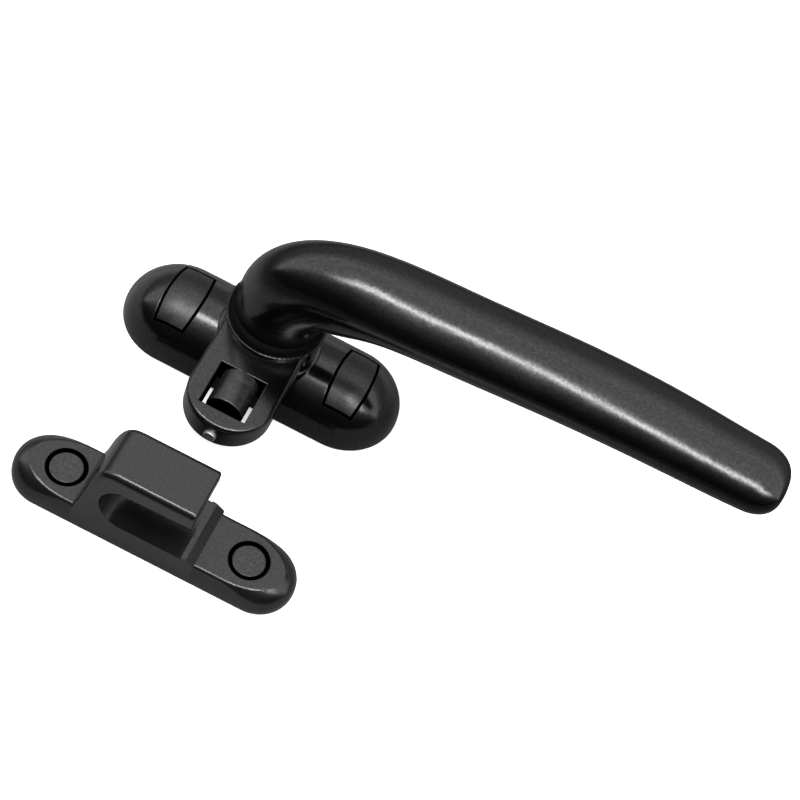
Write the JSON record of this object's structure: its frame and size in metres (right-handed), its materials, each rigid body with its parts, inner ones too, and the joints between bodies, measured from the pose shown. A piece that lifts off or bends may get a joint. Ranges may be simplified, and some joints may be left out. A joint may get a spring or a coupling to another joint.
{
  "type": "casement window handle with roller tongue and keeper",
  "caption": "Cranked window handle on a domed base with a roller tongue that turns a quarter turn out of a separate hooked keeper.",
  "frame": {"origin": "the lever's pivot axis where it meets the mounting plane, midway between the base's fixing holes", "axes": "+X along the base towards the tip of the grip, +Z out of the sash, -Y towards the keeper"},
  "size_m": [0.1638, 0.0799, 0.0584],
  "materials": {
    "satin_black_coat": "satin powder coat on zinc die casting",
    "matt_black_coat": "fine-textured matt powder coat on zinc die casting",
    "black_cover_plastic": "satin moulded plastic",
    "black_cap_plastic": "matt moulded plastic",
    "grey_acetal": "smooth turned acetal",
    "bright_steel": "ground, bare",
    "zinc_plated_steel": "bright zinc plate",
    "spring_steel": "tempered spring steel",
    "natural_nylon": "natural nylon",
    "black_nylon": "black nylon"
  },
  "bodies": {
    "base": {"base_housing": "satin_black_coat", "screw_cover_left": "black_cover_plastic", "screw_cover_right": "black_cover_plastic", "pivot_bush": "natural_nylon", "thrust_washer": "black_nylon", "friction_washer": "natural_nylon", "back_plate": "zinc_plated_steel", "back_plate_screws": "zinc_plated_steel"},
    "lever": {"handle_lever": "satin_black_coat", "pivot_spindle": "zinc_plated_steel", "stop_disc": "zinc_plated_steel", "disc_spring": "spring_steel", "clamp_washer": "zinc_plated_steel", "lock_nut": "zinc_plated_steel", "tongue_plate": "satin_black_coat", "tongue_dowels": "bright_steel", "roller_pin": "bright_steel"},
    "roller": {"tongue_roller": "grey_acetal"},
    "keeper": {"keeper_body": "matt_black_coat", "keeper_cap_left": "black_cap_plastic", "keeper_cap_right": "black_cap_plastic"}
  },
  "joints": [
    {"name": "lever_turn", "type": "hinge", "parent": "base", "child": "lever", "pos_m": [0, 0, 0.01225], "axis": [0, 0, 1], "range_deg": [0, 90]},
    {"name": "roller_spin", "type": "hinge", "parent": "lever", "child": "roller", "pos_m": [0, -0.0241, 0.0161], "axis": [0, 1, 0], "continuous": true},
    {"name": "keeper_closing", "type": "slide", "parent": "base", "child": "keeper", "axis": [0, 1, 0], "range_m": [0, 0.03]}
  ]
}
